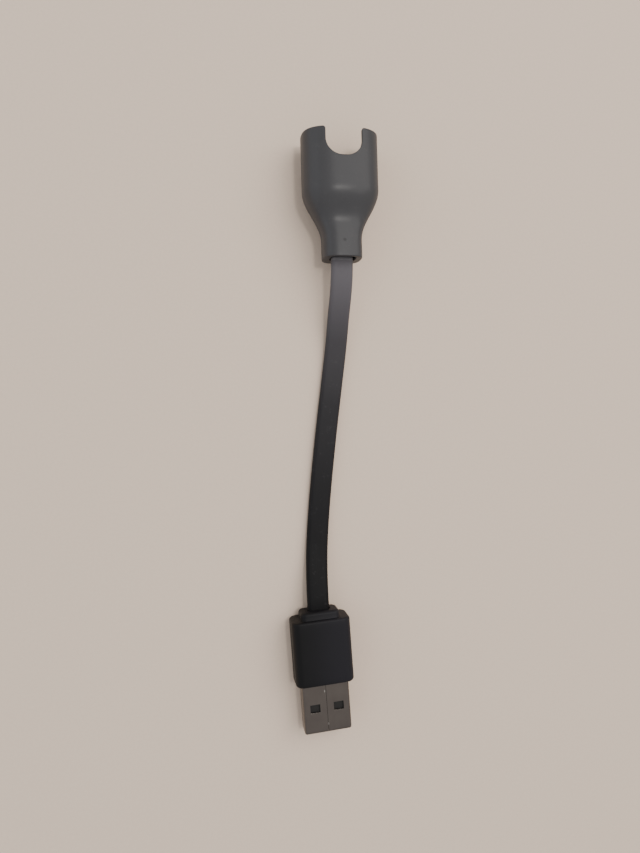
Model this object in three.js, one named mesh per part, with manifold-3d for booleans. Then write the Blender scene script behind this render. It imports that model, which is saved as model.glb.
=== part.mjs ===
// Charging lead for a wrist tracker: a clip-in cradle with two sprung contact pins, a short flat cable
// and a moulded USB plug, lying on its back.
// Millimetres. The cradle's axis runs along Y with its mouth towards +Y, its front faces +Z, and the
// origin lies on the surface below the middle of the cradle.

import * as THREE from "three";
import { LoftGeometry } from "three/addons/geometries/LoftGeometry.js";
import { mergeVertices } from "three/addons/utils/BufferGeometryUtils.js";
import Module from "manifold-3d";

const wasm = await Module();
wasm.setup();

// ---------------------------------------------------------------- driving dimensions

// Tracker capsule that the cradle holds, and the cradle around it.
const CAPSULE_WIDTH = 15.7;
const CAPSULE_THICKNESS = 10.5;
const CAPSULE_CLEARANCE = 0.1;
const SIDE_WALL = 1.6;
const FACE_WALL = 1.1;
const CRADLE_LENGTH = 30.6;
const CUP_STRAIGHT = 13.6; // from the rim down to where the shoulders begin
const SHOULDER_LENGTH = 12.5; // as seen from the front; the faces close in over a shorter stretch
const FACE_SHOULDER_LENGTH = 9.0;
const CUP_ROUNDNESS = 2.6; // exponent of the oval section: 2 is an ellipse
const CAVITY_ROUNDNESS = 2.9;
const RIM_ROUNDING = 0.4;
const NECK_SIDE_WALL = 1.025;
const NECK_THICKNESS = 8.4;
const NECK_ROUNDNESS = 3.2;
const NECK_END_ROUNDING = 0.25;

// Hollow of the cup: straight for the capsule's body, then narrowing round its end.
const SEAT_DEPTH = 19.1;
const SEAT_WIDTH = 11.6;
const SEAT_THICKNESS = 8.6;
const CAPSULE_END_LENGTH = 6.2;

// Thumb notches in the front and the back wall.
const FRONT_NOTCH = { width: 9.0, depth: 6.9, corner: 4.0, tip: 0.7 };
const BACK_NOTCH = { width: 14.0, depth: 9.3, corner: 5.0, tip: 0.7 };

// Contact carrier, sprung pins and their board.
const GAP = 0.3; // between pieces that are moulded or pressed together
const CARRIER_WIDTH = 8.6;
const CARRIER_THICKNESS = 6.2;
const CARRIER_LENGTH = 3.0;
const CARRIER_CORNER = 1.5;
const PIN_SPACING = 4.4;
const PIN_STAND_OUT = 1.3;
const PLUNGER_RADIUS = 0.5;
const PLUNGER_COLLAR = 0.12; // how far its foot is wider than its shank
const FOOT_THICKNESS = 0.4;
const RUNNING_CLEARANCE = 0.08;
const BARREL_RADIUS = 0.9;
const BARREL_LENGTH = 3.6;
const BARREL_SINK = 0.3;
const BARREL_LIP = 0.3;
const BARREL_FLOOR = 0.5;
const BARREL_FLANGE = 0.3;
const BARREL_TAIL_RADIUS = 0.35;
const BARREL_TAIL_LENGTH = 1.9;
const SPRING_WIRE_RADIUS = 0.08;
const SPRING_RADIUS = 0.42;
const SPRING_TURNS = 5;
const BOARD_HEIGHT = 5.4;
const BOARD_THICKNESS = 0.8;
const BOARD_CORNER = 0.8;
const SOLDER_RADIUS = 0.9;
const SOLDER_HEIGHT = 0.55;

// Neck: the bore for the board, the filling behind it and the slot that the cable leaves by.
const FILLING_SIDE = 0.5; // of the filling beside the cable on each side
const BORE_HEIGHT = 6.0;
const BORE_CORNER = 1.3;
const NECK_END_WALL = 1.1;
const CABLE_SLOT_SIDE = 0.4; // beside the cable on each side
const CABLE_SLOT_ABOVE = 2.3;
const CABLE_SLOT_BELOW = 0.35;
const FILLING_LENGTH = 2.4;

// Flat two-core cable.
const CABLE_WIDTH = 5.6;
const CABLE_THICKNESS = 2.0;
const CORE_SPACING = 2.3;
const CORE_RADIUS = 0.42;
const LUMEN_RADIUS = 0.62;
const CABLE_STEPS = 34;
const CORE_STEPS = 64;

// USB plug. Its shell is the standard 12.0 by 4.5 mm.
const SHELL_WIDTH = 12.0;
const SHELL_HEIGHT = 4.5;
const SHELL_SHEET = 0.3;
const SHELL_CORNER = 0.6;
const SHELL_LENGTH = 18.8;
const SHELL_STAND_OUT = 12.2;
const WINDOW = { width: 2.5, length: 2.0, spacing: 6.0, fromTip: 5.16 };
const BODY_SIDE = 1.4; // of moulding beside the shell
const BODY_FACE = 1.75; // of moulding above and below the shell
const BODY_LENGTH = 16.3;
const BODY_CORNER = 2.0;
const COLLAR_WIDTH = 9.9;
const COLLAR_HEIGHT = 6.0;
const COLLAR_LENGTH = 1.9;
const COLLAR_CORNER = 1.4;
const BODY_WALL = 1.1;
const INNER_MOULD_LENGTH = 7.8;
const CHANNEL_WIDTH = 9.4;
const CHANNEL_HEIGHT = 3.8;
const CRIMP_SHEET = 0.3;
const CRIMP_LENGTH = 1.8;
const CRIMP_CLEARANCE = 0.25;
const TONGUE_THICKNESS = 1.8;
const TONGUE_CLEARANCE = 0.2;
const TONGUE_RECESS = 0.5;
const HOLDER_LENGTH = 5.8;
const CONTACT_WIDTH = 1.0;
const CONTACT_THICKNESS = 0.25;
const CONTACT_PITCHES = { ground: 3.5, data_plus: 1.0, data_minus: -1.0, power: -3.5 };
const CONTACT_RECESS = 1.2;
const TAIL_LENGTH = 2.1;
const PLUG_SOLDER_RADIUS = 0.5;

// The cable's middle line: the points that it passes through from inside the neck to inside the plug.
const CABLE_ROUTE = [
  [0, -11.8, 6.45],
  [0, -13.1, 6.45],
  [0, -15.3, 6.45],
  [-0.05, -18.1, 6.32],
  [-0.15, -21.1, 5.85],
  [-0.32, -24.6, 4.92],
  [-0.6, -28.6, 3.62],
  [-0.85, -33.1, 2.3],
  [-1.22, -37.6, 1.42],
  [-1.88, -42.6, 1.08],
  [-2.82, -49.1, 1.03],
  [-3.85, -56.1, 1.03],
  [-4.8, -63.1, 1.03],
  [-5.7, -70.1, 1.03],
  [-6.45, -76.6, 1.03],
  [-7.05, -82.6, 1.1],
  [-7.52, -88.1, 1.45],
  [-7.86, -93.1, 2.35],
  [-8.06, -97.6, 3.38],
  [-8.1, -100.6, 3.86],
  [-8.05, -103, 4.0],
  [-7.93, -105.5, 4.0],
  [-7.77, -108.9, 4.0],
];
const PLUG_ENTRY = [-8.05, -103]; // where the cable meets the plug's collar
const PLUG_TURN = 0.047; // radians about Z

// ---------------------------------------------------------------- sizes that follow

const cupWidth = CAPSULE_WIDTH + 2 * (CAPSULE_CLEARANCE + SIDE_WALL);
const cupThickness = CAPSULE_THICKNESS + 2 * (CAPSULE_CLEARANCE + FACE_WALL);
const axisHeight = cupThickness / 2;
const rimY = CRADLE_LENGTH / 2;
const neckEndY = -CRADLE_LENGTH / 2;
const shoulderTopY = rimY - CUP_STRAIGHT;
const seatY = rimY - SEAT_DEPTH;
const carrierBackY = seatY - CARRIER_LENGTH;
const barrelTopY = seatY - BARREL_SINK;
const barrelEndY = barrelTopY - BARREL_LENGTH;
const footRadius = PLUNGER_RADIUS + PLUNGER_COLLAR;
const barrelBore = footRadius + RUNNING_CLEARANCE;
const barrelFloorY = barrelEndY + BARREL_FLOOR;
const flangeRadius = BARREL_RADIUS + BARREL_FLANGE;
const plungerFootY = barrelTopY - BARREL_LIP - RUNNING_CLEARANCE;
const springTopY = plungerFootY - FOOT_THICKNESS - 2 * RUNNING_CLEARANCE;
const springEndY = barrelFloorY + 2 * RUNNING_CLEARANCE;
const boardFrontY = barrelEndY - GAP;
const boardBackY = boardFrontY - BOARD_THICKNESS;
const solderFaceY = boardBackY - GAP / 2;
const tailEndY = barrelEndY - BARREL_TAIL_LENGTH;
const fillingFrontY = neckEndY + NECK_END_WALL + GAP + FILLING_LENGTH;
const boreEndY = neckEndY + NECK_END_WALL;
const boreWidth = CABLE_WIDTH + 4 * GAP + 2 * FILLING_SIDE;
const neckWidth = boreWidth + 2 * NECK_SIDE_WALL;
const boardWidth = boreWidth - 2 * GAP;

const bodyWidth = SHELL_WIDTH + 2 * BODY_SIDE;
const bodyHeight = SHELL_HEIGHT + 2 * BODY_FACE;
const plugAxisHeight = bodyHeight / 2;
const bodyFrontY = -COLLAR_LENGTH - BODY_LENGTH;
const tipY = bodyFrontY - SHELL_STAND_OUT;
const shellBackY = tipY + SHELL_LENGTH;
const innerMouldFrontY = shellBackY + GAP;
const innerMouldBackY = innerMouldFrontY + INNER_MOULD_LENGTH;
const insideHeight = SHELL_HEIGHT / 2 - SHELL_SHEET - TONGUE_CLEARANCE;
const holderBackY = shellBackY - GAP;
const holderFrontY = holderBackY - HOLDER_LENGTH;
const contactTop = insideHeight - TONGUE_THICKNESS - TONGUE_CLEARANCE;
const contactBackY = holderBackY + TAIL_LENGTH;
const plugSolderY = contactBackY + GAP / 2 + PLUG_SOLDER_RADIUS;
const solderBackY = plugSolderY + PLUG_SOLDER_RADIUS;

// ---------------------------------------------------------------- materials

function finish(color, roughness, metalness = 0) {
  return new THREE.MeshStandardMaterial({ color, roughness, metalness });
}

const softPlastic = finish(0x4a4a4d, 0.62);
const carrierPlastic = finish(0x1c1c1e, 0.5);
const gold = finish(0xcfa55a, 0.25, 1);
const springSteel = finish(0xb4b6b8, 0.3, 1);
const boardGreen = finish(0x24543a, 0.5);
const solder = finish(0xb9bcc0, 0.35, 1);
const filling = finish(0x303033, 0.6);
const cableRubber = finish(0x2e2e31, 0.55);
const redCore = finish(0xa8342c, 0.5);
const blackCore = finish(0x202022, 0.5);
const plugRubber = finish(0x1f1f22, 0.5);
const nickel = finish(0xa9a49c, 0.3, 1);
const blackInsulator = finish(0x19191b, 0.45);

// ---------------------------------------------------------------- solids

// A closed geometry as a solid that can be joined and cut.
function solidOf(geometry) {
  const bare = new THREE.BufferGeometry();
  bare.setAttribute("position", geometry.getAttribute("position"));
  bare.setIndex(geometry.index);
  const merged = mergeVertices(bare, 1e-4);
  return new wasm.Manifold(
    new wasm.Mesh({
      numProp: 3,
      vertProperties: merged.attributes.position.array,
      triVerts: new Uint32Array(merged.index.array),
    }),
  );
}

function geometryOf(solid) {
  const mesh = solid.getMesh();
  const geometry = new THREE.BufferGeometry();
  geometry.setAttribute("position", new THREE.BufferAttribute(mesh.vertProperties, 3));
  geometry.setIndex(new THREE.BufferAttribute(mesh.triVerts, 1));
  geometry.computeVertexNormals();
  return geometry;
}

function cut(body, ...tools) {
  return geometryOf(tools.reduce((left, tool) => left.subtract(solidOf(tool)), solidOf(body)));
}

function join(...pieces) {
  return geometryOf(pieces.map(solidOf).reduce((whole, piece) => whole.add(piece)));
}

// One ring of an oval loft across the Y axis. Its flats touch the stated width and thickness.
const RING_POINTS = 36;
function ovalRing(width, thickness, roundness, y, z) {
  const power = 2 / roundness;
  const reach = Math.cos(Math.PI / RING_POINTS) ** power;
  const ring = [];
  for (let i = 0; i < RING_POINTS; i++) {
    const angle = (2 * Math.PI * (i + 0.5)) / RING_POINTS;
    const across = Math.sign(Math.cos(angle)) * Math.abs(Math.cos(angle)) ** power;
    const up = Math.sign(Math.sin(angle)) * Math.abs(Math.sin(angle)) ** power;
    ring.push(
      new THREE.Vector3((-across * width) / 2 / reach, y, z + (up * thickness) / 2 / reach),
    );
  }
  return ring;
}

function loft(rings) {
  return new LoftGeometry(rings, { capStart: true, capEnd: true });
}

function roundedRectangle(width, height, corner, x = 0, y = 0) {
  const shape = new THREE.Shape();
  const right = x + width / 2 - corner;
  const left = x - width / 2 + corner;
  const top = y + height / 2 - corner;
  const bottom = y - height / 2 + corner;
  shape.absarc(right, top, corner, 0, Math.PI / 2);
  shape.absarc(left, top, corner, Math.PI / 2, Math.PI);
  shape.absarc(left, bottom, corner, Math.PI, 1.5 * Math.PI);
  shape.absarc(right, bottom, corner, 1.5 * Math.PI, 2 * Math.PI);
  return shape;
}

// A shape across the Y axis, extruded from frontY back to backY, with its middle at height z.
function bar(shape, frontY, backY, z, curveSegments = 4) {
  const geometry = new THREE.ExtrudeGeometry(shape, {
    depth: frontY - backY,
    bevelEnabled: false,
    curveSegments,
  });
  geometry.rotateX(Math.PI / 2);
  geometry.translate(0, frontY, z);
  return geometry;
}

function box(width, length, height, x, y, z) {
  return new THREE.BoxGeometry(width, length, height).translate(x, y, z);
}

function turned(profile, sides = 16) {
  return new THREE.LatheGeometry(
    profile.map(([radius, y]) => new THREE.Vector2(radius, y)),
    sides,
  );
}

function circle(radius, x = 0, y = 0) {
  return new THREE.Path().absarc(x, y, radius, 0, 2 * Math.PI);
}

// ---------------------------------------------------------------- cradle

// How much of the cup is left at y: 1 above the shoulder, 0 below it, eased between.
function shoulderEase(y, length) {
  const along = THREE.MathUtils.clamp(1 - (shoulderTopY - y) / length, 0, 1);
  return (1 - Math.cos(Math.PI * along)) / 2;
}

// Width and thickness of the outside at y: the cup, the neck, or the shoulder between them.
function outsideAt(y) {
  const sides = shoulderEase(y, SHOULDER_LENGTH);
  const faces = shoulderEase(y, FACE_SHOULDER_LENGTH);
  return {
    width: THREE.MathUtils.lerp(neckWidth, cupWidth, sides),
    thickness: THREE.MathUtils.lerp(NECK_THICKNESS, cupThickness, faces),
    roundness: THREE.MathUtils.lerp(NECK_ROUNDNESS, CUP_ROUNDNESS, sides),
  };
}

function outsideRing(y, inset) {
  const { width, thickness, roundness } = outsideAt(y);
  return ovalRing(width - 2 * inset, thickness - 2 * inset, roundness, y, axisHeight);
}

// The neck's end is chamfered, and the rim is rounded over in a quarter circle.
function cradleOutside() {
  const SHOULDER_STEPS = 12;
  const RIM_STEPS = 3;
  const rings = [
    outsideRing(neckEndY, NECK_END_ROUNDING),
    outsideRing(neckEndY + NECK_END_ROUNDING, 0),
  ];
  for (let i = 0; i <= SHOULDER_STEPS; i++) {
    rings.push(outsideRing(shoulderTopY - SHOULDER_LENGTH * (1 - i / SHOULDER_STEPS), 0));
  }
  for (let i = 0; i <= RIM_STEPS; i++) {
    const angle = (Math.PI / 2) * (i / RIM_STEPS);
    const y = rimY - RIM_ROUNDING * (1 - Math.sin(angle));
    rings.push(outsideRing(y, RIM_ROUNDING * (1 - Math.cos(angle))));
  }
  return loft(rings);
}

// The capsule's hollow: straight down from the mouth, then closing in on the seat in a quarter oval.
function cavity() {
  const END_STEPS = 6;
  const straight = {
    width: CAPSULE_WIDTH + 2 * CAPSULE_CLEARANCE,
    thickness: CAPSULE_THICKNESS + 2 * CAPSULE_CLEARANCE,
  };
  const rings = [];
  for (let i = 0; i <= END_STEPS; i++) {
    const angle = (Math.PI / 2) * (1 - i / END_STEPS);
    const swell = Math.cos(angle);
    const y = seatY + CAPSULE_END_LENGTH * (1 - Math.sin(angle));
    const outside = outsideAt(y);
    const width = THREE.MathUtils.lerp(SEAT_WIDTH, straight.width, swell);
    const thickness = THREE.MathUtils.lerp(SEAT_THICKNESS, straight.thickness, swell);
    rings.push(
      ovalRing(
        Math.min(width, outside.width - 2 * SIDE_WALL),
        Math.min(thickness, outside.thickness - 2 * FACE_WALL),
        CAVITY_ROUNDNESS,
        y,
        axisHeight,
      ),
    );
  }
  rings.push(ovalRing(straight.width, straight.thickness, CAVITY_ROUNDNESS, rimY + 1, axisHeight));
  return loft(rings);
}

// A U-shaped notch seen from the front, with its prong tips rounded, cut upwards from fromZ to toZ.
function notch({ width, depth, corner, tip }, fromZ, toZ) {
  const half = width / 2;
  const bottom = rimY - depth;
  const shape = new THREE.Shape();
  shape.moveTo(half + tip, rimY + 1);
  shape.lineTo(-half - tip, rimY + 1);
  shape.lineTo(-half - tip, rimY);
  shape.absarc(-half - tip, rimY - tip, tip, Math.PI / 2, 0, true);
  shape.absarc(-half + corner, bottom + corner, corner, Math.PI, 1.5 * Math.PI);
  shape.absarc(half - corner, bottom + corner, corner, 1.5 * Math.PI, 2 * Math.PI);
  shape.absarc(half + tip, rimY - tip, tip, Math.PI, Math.PI / 2, true);
  const options = { depth: toZ - fromZ, bevelEnabled: false, curveSegments: 6 };
  return new THREE.ExtrudeGeometry(shape, options).translate(0, 0, fromZ);
}

function cradleShell() {
  const pocket = roundedRectangle(
    CARRIER_WIDTH + 2 * GAP,
    CARRIER_THICKNESS + 2 * GAP,
    CARRIER_CORNER + GAP,
  );
  const slot = roundedRectangle(
    CABLE_WIDTH + 2 * CABLE_SLOT_SIDE,
    CABLE_THICKNESS + CABLE_SLOT_ABOVE + CABLE_SLOT_BELOW,
    1.2,
    0,
    (CABLE_SLOT_ABOVE - CABLE_SLOT_BELOW) / 2,
  );
  return cut(
    cradleOutside(),
    cavity(),
    notch(FRONT_NOTCH, axisHeight, cupThickness + 1),
    notch(BACK_NOTCH, -1, axisHeight),
    bar(pocket, seatY + 0.5, carrierBackY - GAP, axisHeight),
    bar(roundedRectangle(boreWidth, BORE_HEIGHT, BORE_CORNER), carrierBackY, boreEndY, axisHeight),
    bar(slot, boreEndY + 0.5, neckEndY - 1, axisHeight),
  );
}

function contactCarrier() {
  const shape = roundedRectangle(CARRIER_WIDTH, CARRIER_THICKNESS, CARRIER_CORNER);
  for (const side of [-1, 1]) {
    shape.holes.push(circle(BARREL_RADIUS + GAP / 2, (side * PIN_SPACING) / 2));
  }
  return bar(shape, seatY, carrierBackY, axisHeight, 5);
}

// Barrel: a cup that is lipped over the plunger's foot, with a flange behind the carrier and a tail.
function pinBarrel() {
  const lipBore = PLUNGER_RADIUS + RUNNING_CLEARANCE;
  const flangeTopY = carrierBackY - GAP / 2;
  return turned([
    [0, tailEndY],
    [BARREL_TAIL_RADIUS, tailEndY],
    [BARREL_TAIL_RADIUS, barrelEndY],
    [flangeRadius, barrelEndY],
    [flangeRadius, flangeTopY],
    [BARREL_RADIUS, flangeTopY],
    [BARREL_RADIUS, barrelTopY],
    [lipBore, barrelTopY],
    [lipBore, barrelTopY - BARREL_LIP],
    [barrelBore, barrelTopY - BARREL_LIP],
    [barrelBore, barrelFloorY],
    [0, barrelFloorY],
  ]);
}

// Plunger: a round-nosed shank on a wider foot, standing out of the seat.
function pinPlunger() {
  const NOSE_STEPS = 3;
  const noseY = seatY + PIN_STAND_OUT;
  const profile = [
    [0, plungerFootY - FOOT_THICKNESS],
    [footRadius, plungerFootY - FOOT_THICKNESS],
    [footRadius, plungerFootY],
    [PLUNGER_RADIUS, plungerFootY],
  ];
  for (let i = 0; i < NOSE_STEPS; i++) {
    const angle = (Math.PI / 2) * (i / NOSE_STEPS);
    profile.push([
      PLUNGER_RADIUS * Math.cos(angle),
      noseY - PLUNGER_RADIUS * (1 - Math.sin(angle)),
    ]);
  }
  profile.push([0, noseY]);
  return turned(profile);
}

class Helix extends THREE.Curve {
  getPoint(t, target = new THREE.Vector3()) {
    const angle = 2 * Math.PI * SPRING_TURNS * t;
    const y = THREE.MathUtils.lerp(
      springTopY - SPRING_WIRE_RADIUS,
      springEndY + SPRING_WIRE_RADIUS,
      t,
    );
    return target.set(SPRING_RADIUS * Math.cos(angle), y, SPRING_RADIUS * Math.sin(angle));
  }
}

function roundRod(path, radius, sides, steps) {
  const corners = [];
  for (let i = 0; i < sides; i++) {
    const angle = (2 * Math.PI * i) / sides;
    corners.push(new THREE.Vector2(radius * Math.cos(angle), radius * Math.sin(angle)));
  }
  return new THREE.ExtrudeGeometry(new THREE.Shape(corners), { extrudePath: path, steps });
}

function pinSpring() {
  return roundRod(new Helix(), SPRING_WIRE_RADIUS, 5, 10 * SPRING_TURNS);
}

function pinBoard() {
  const shape = roundedRectangle(boardWidth, BOARD_HEIGHT, BOARD_CORNER);
  for (const side of [-1, 1]) {
    shape.holes.push(circle(BARREL_TAIL_RADIUS + GAP / 2, (side * PIN_SPACING) / 2));
  }
  return bar(shape, boardFrontY, boardBackY, axisHeight, 3);
}

// Solder round a pin's tail on the back of the board.
function boardSolder() {
  const inner = BARREL_TAIL_RADIUS + GAP / 2;
  return turned([
    [inner, solderFaceY],
    [inner, solderFaceY - SOLDER_HEIGHT],
    [inner + 0.1, solderFaceY - SOLDER_HEIGHT],
    [SOLDER_RADIUS, solderFaceY - 0.1],
    [SOLDER_RADIUS, solderFaceY],
    [inner, solderFaceY],
  ], 12);
}

// Hard filling that grips the end of the cable inside the neck.
function neckFilling() {
  const shape = roundedRectangle(boreWidth - 2 * GAP, BORE_HEIGHT - 2 * GAP, BORE_CORNER - GAP);
  const hole = roundedRectangle(CABLE_WIDTH + 2 * GAP, CABLE_THICKNESS + 2 * GAP, CABLE_THICKNESS / 2);
  const backY = fillingFrontY - FILLING_LENGTH;
  return cut(
    bar(shape, fillingFrontY, backY, axisHeight, 3),
    bar(hole, fillingFrontY + 0.5, backY - 0.5, axisHeight, 3),
  );
}

// ---------------------------------------------------------------- cable

// A smooth path whose section stays level, so that a flat cable doesn't twist along it.
class LevelPath extends THREE.CatmullRomCurve3 {
  computeFrenetFrames(steps) {
    const up = new THREE.Vector3(0, 0, 1);
    const frames = { tangents: [], normals: [], binormals: [] };
    for (let i = 0; i <= steps; i++) {
      const tangent = this.getTangentAt(i / steps);
      const sideways = new THREE.Vector3().crossVectors(up, tangent).normalize();
      frames.tangents.push(tangent);
      frames.normals.push(sideways);
      frames.binormals.push(new THREE.Vector3().crossVectors(tangent, sideways));
    }
    return frames;
  }
}

const routePoints = CABLE_ROUTE.map(([x, y, z]) => new THREE.Vector3(x, y, z));
const cablePath = new LevelPath(routePoints, false, "centripetal");

// Flat section with half-round edges, drawn with three points on each quarter, and two lumens.
function cableJacket() {
  const radius = CABLE_THICKNESS / 2;
  const flat = CABLE_WIDTH / 2 - radius;
  const outline = [];
  for (const side of [1, -1]) {
    for (let i = 0; i < 6; i++) {
      const angle = Math.PI * (i / 5 - 0.5);
      outline.push(
        new THREE.Vector2(side * (flat + radius * Math.cos(angle)), side * radius * Math.sin(angle)),
      );
    }
  }
  const shape = new THREE.Shape(outline);
  for (const side of [-1, 1]) {
    shape.holes.push(circle(LUMEN_RADIUS, (side * CORE_SPACING) / 2));
  }
  return new THREE.ExtrudeGeometry(shape, {
    extrudePath: cablePath,
    steps: CABLE_STEPS,
    curveSegments: 4,
  });
}

// A core's path: from its solder at a pin, down its lumen, to its solder at a plug contact.
// It runs straight for a little way at both ends of the jacket.
function corePath(side) {
  const STATIONS = 16;
  const END_SHARE = 0.02;
  const shares = [0, 1];
  for (let i = 0; i <= STATIONS; i++) {
    shares.push(THREE.MathUtils.lerp(END_SHARE, 1 - END_SHARE, i / STATIONS));
  }
  shares.sort((a, b) => a - b);

  const pinX = (side * PIN_SPACING) / 2;
  const points = [GAP, 2 * GAP].map((gap) => new THREE.Vector3(pinX, tailEndY - gap, axisHeight));
  for (const share of shares) {
    const tangent = cablePath.getTangentAt(share);
    const sideways = new THREE.Vector3(-tangent.y, tangent.x, 0).normalize();
    points.push(cablePath.getPointAt(share).addScaledVector(sideways, (side * CORE_SPACING) / 2));
  }
  const contactX = side * CONTACT_PITCHES.ground;
  points.push(onPlug(contactX, solderBackY + 2 * GAP, plugAxisHeight));
  points.push(onPlug(contactX, solderBackY + GAP / 2, plugAxisHeight));
  return new LevelPath(points, false, "centripetal");
}

// ---------------------------------------------------------------- plug

// The plug's own frame starts at the cable's entry, with the tip towards -Y.
function onPlug(x, y, z) {
  const point = new THREE.Vector3(x, y, z).applyAxisAngle(new THREE.Vector3(0, 0, 1), PLUG_TURN);
  return point.add(new THREE.Vector3(PLUG_ENTRY[0], PLUG_ENTRY[1], 0));
}

function plugOvermould() {
  const body = bar(
    roundedRectangle(bodyWidth, bodyHeight, BODY_CORNER),
    -COLLAR_LENGTH,
    bodyFrontY,
    plugAxisHeight,
  );
  const collar = bar(
    roundedRectangle(COLLAR_WIDTH, COLLAR_HEIGHT, COLLAR_CORNER),
    0,
    -COLLAR_LENGTH - 0.5,
    plugAxisHeight,
  );
  const entry = roundedRectangle(CABLE_WIDTH + 2 * GAP, CABLE_THICKNESS + 2 * GAP, 1.2);
  const hollow = roundedRectangle(bodyWidth - 2 * BODY_WALL, bodyHeight - 2 * BODY_WALL, 1.0);
  const mouth = roundedRectangle(
    SHELL_WIDTH + 2 * GAP,
    SHELL_HEIGHT + 2 * GAP,
    SHELL_CORNER + GAP,
  );
  return cut(
    join(body, collar),
    bar(entry, 1, innerMouldBackY, plugAxisHeight),
    bar(hollow, innerMouldBackY + GAP, innerMouldFrontY - GAP / 2, plugAxisHeight),
    bar(mouth, innerMouldFrontY, bodyFrontY - 1, plugAxisHeight),
  );
}

function plugInnerMould() {
  const shape = roundedRectangle(
    bodyWidth - 2 * (BODY_WALL + GAP),
    bodyHeight - 2 * (BODY_WALL + GAP),
    0.7,
  );
  shape.holes.push(roundedRectangle(CHANNEL_WIDTH, CHANNEL_HEIGHT, 0.6));
  return bar(shape, innerMouldBackY, innerMouldFrontY, plugAxisHeight, 3);
}

function plugShell() {
  const shape = roundedRectangle(SHELL_WIDTH, SHELL_HEIGHT, SHELL_CORNER);
  shape.holes.push(
    roundedRectangle(
      SHELL_WIDTH - 2 * SHELL_SHEET,
      SHELL_HEIGHT - 2 * SHELL_SHEET,
      SHELL_CORNER - SHELL_SHEET,
    ),
  );
  const windowY = tipY + WINDOW.fromTip + WINDOW.length / 2;
  const windows = [-1, 1].map((side) =>
    box(
      WINDOW.width,
      WINDOW.length,
      SHELL_HEIGHT + 2,
      (side * WINDOW.spacing) / 2,
      windowY,
      plugAxisHeight,
    ),
  );
  return cut(bar(shape, shellBackY, tipY, plugAxisHeight), ...windows);
}

// Insulator: a tongue under the shell's top, and the block behind it that holds the contacts.
function plugInsulator() {
  const width = SHELL_WIDTH - 2 * (SHELL_SHEET + TONGUE_CLEARANCE);
  const holder = box(
    width,
    HOLDER_LENGTH,
    2 * insideHeight,
    0,
    (holderFrontY + holderBackY) / 2,
    plugAxisHeight,
  );
  const tongueFrontY = tipY + TONGUE_RECESS;
  const tongueLength = holderFrontY + 1 - tongueFrontY;
  const tongue = box(
    width,
    tongueLength,
    TONGUE_THICKNESS,
    0,
    tongueFrontY + tongueLength / 2,
    plugAxisHeight + insideHeight - TONGUE_THICKNESS / 2,
  );
  const grooves = Object.values(CONTACT_PITCHES).map((x) =>
    box(
      CONTACT_WIDTH + GAP,
      HOLDER_LENGTH + 4,
      CONTACT_THICKNESS + GAP,
      x,
      (holderFrontY + holderBackY) / 2,
      plugAxisHeight + contactTop - CONTACT_THICKNESS / 2,
    ),
  );
  return cut(join(holder, tongue), ...grooves);
}

function plugContact(x) {
  const frontY = tipY + CONTACT_RECESS;
  return box(
    CONTACT_WIDTH,
    contactBackY - frontY,
    CONTACT_THICKNESS,
    x,
    (contactBackY + frontY) / 2,
    plugAxisHeight + contactTop - CONTACT_THICKNESS / 2,
  );
}

function plugSolder() {
  return new THREE.SphereGeometry(PLUG_SOLDER_RADIUS, 10, 6);
}

// Band that is crimped round the jacket inside the inner mould.
function cableCrimp() {
  const width = CABLE_WIDTH + 2 * CRIMP_CLEARANCE;
  const height = CABLE_THICKNESS + 2 * CRIMP_CLEARANCE;
  const shape = roundedRectangle(width + 2 * CRIMP_SHEET, height + 2 * CRIMP_SHEET, height / 2);
  shape.holes.push(roundedRectangle(width, height, height / 2 - CRIMP_SHEET));
  const frontY = innerMouldBackY - 2 * GAP;
  return bar(shape, frontY, frontY - CRIMP_LENGTH, plugAxisHeight, 3);
}

// ---------------------------------------------------------------- assembly

function add(parent, name, geometry, material, x = 0, y = 0, z = 0) {
  const mesh = new THREE.Mesh(geometry, material);
  mesh.name = name;
  mesh.position.set(x, y, z);
  parent.add(mesh);
}

const lead = new THREE.Group();

const cradle = new THREE.Group();
add(cradle, "cradle_shell", cradleShell(), softPlastic);
add(cradle, "contact_carrier", contactCarrier(), carrierPlastic);
add(cradle, "pin_board", pinBoard(), boardGreen);
add(cradle, "neck_filling", neckFilling(), filling);
for (const [name, side] of [["left", -1], ["right", 1]]) {
  const x = (side * PIN_SPACING) / 2;
  add(cradle, `pin_barrel_${name}`, pinBarrel(), gold, x, 0, axisHeight);
  add(cradle, `pin_plunger_${name}`, pinPlunger(), gold, x, 0, axisHeight);
  add(cradle, `pin_spring_${name}`, pinSpring(), springSteel, x, 0, axisHeight);
  add(cradle, `board_solder_${name}`, boardSolder(), solder, x, 0, axisHeight);
}
lead.add(cradle);

const cable = new THREE.Group();
add(cable, "cable_jacket", cableJacket(), cableRubber);
add(cable, "positive_core", roundRod(corePath(-1), CORE_RADIUS, 8, CORE_STEPS), redCore);
add(cable, "ground_core", roundRod(corePath(1), CORE_RADIUS, 8, CORE_STEPS), blackCore);
lead.add(cable);

const plug = new THREE.Group();
plug.position.set(PLUG_ENTRY[0], PLUG_ENTRY[1], 0);
plug.rotation.z = PLUG_TURN;
add(plug, "plug_overmould", plugOvermould(), plugRubber);
add(plug, "plug_inner_mould", plugInnerMould(), filling);
add(plug, "plug_shell", plugShell(), nickel);
add(plug, "plug_insulator", plugInsulator(), blackInsulator);
add(plug, "cable_crimp", cableCrimp(), nickel);
for (const [name, x] of Object.entries(CONTACT_PITCHES)) {
  add(plug, `contact_${name}`, plugContact(x), gold);
}
for (const name of ["power", "ground"]) {
  const x = CONTACT_PITCHES[name];
  add(plug, `plug_solder_${name}`, plugSolder(), solder, x, plugSolderY, plugAxisHeight);
}
lead.add(plug);

export default lead;
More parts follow.
